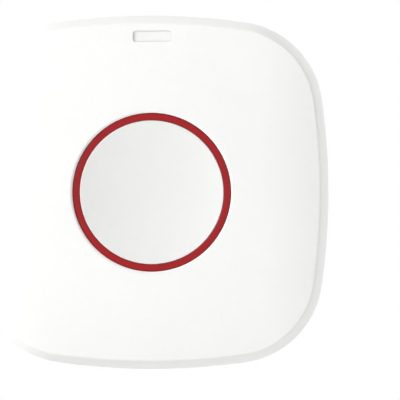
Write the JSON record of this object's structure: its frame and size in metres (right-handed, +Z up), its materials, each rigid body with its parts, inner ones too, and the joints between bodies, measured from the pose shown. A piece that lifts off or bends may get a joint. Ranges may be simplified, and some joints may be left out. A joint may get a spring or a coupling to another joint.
{
  "type": "wireless panic button",
  "caption": "Wall-mounted wireless panic button: soft square white housing, red ring round a dished push button that springs back, and an indicator slot.",
  "frame": {"origin": "middle of the rear cover's flat face, which lies on the wall", "axes": "+X right and +Z up as the button hangs, +Y into the wall, so the front looks along -Y"},
  "size_m": [0.062, 0.0162, 0.062],
  "materials": {
    "housing_white": "moulded, fine grain",
    "cap_white": "moulded, fine grain",
    "ring_red": "moulded, satin",
    "light_pipe": "opal",
    "guide_plastic": "moulded",
    "holder_plastic": "moulded",
    "spring_steel": "drawn wire",
    "contact_metal": "nickel plated sheet",
    "screw_steel": "zinc plated",
    "cell_steel": "nickel plated can",
    "board_green": "solder mask",
    "module_board": "solder mask",
    "shield_metal": "tin plated",
    "antenna_wire": "bare wire",
    "switch_plastic": "moulded",
    "stem_plastic": "moulded",
    "package_black": "moulded",
    "crystal_metal": "seam welded lid",
    "capacitor_yellow": "moulded",
    "diode_white": "moulded",
    "part_ceramic": "sintered",
    "gasket_rubber": "extruded"
  },
  "bodies": {
    "housing": {"front_cover": "housing_white", "rear_cover": "housing_white", "alarm_ring": "ring_red", "indicator_window": "light_pipe", "button_guide": "guide_plastic", "battery_holder": "holder_plastic", "return_spring": "spring_steel", "battery_clip": "contact_metal", "battery_contact": "contact_metal", "board_screws": "screw_steel", "coin_cell": "cell_steel", "circuit_board": "board_green", "radio_module": "module_board", "shield_can": "shield_metal", "switch_plate": "shield_metal", "antenna": "antenna_wire", "switch_base": "switch_plastic", "microcontroller": "package_black", "crystal": "crystal_metal", "bulk_capacitor": "capacitor_yellow", "indicator_diode": "diode_white", "chip_parts": "part_ceramic", "housing_gasket": "gasket_rubber"},
    "button": {"button_cap": "cap_white", "switch_stem": "stem_plastic"}
  },
  "joints": [
    {"name": "button_press", "type": "slide", "parent": "housing", "child": "button", "axis": [0, 1, 0], "range_m": [0, 0.0008], "stiffness_N_per_m": 1000, "springref_m": -0.001, "deforming": ["return_spring"]}
  ]
}
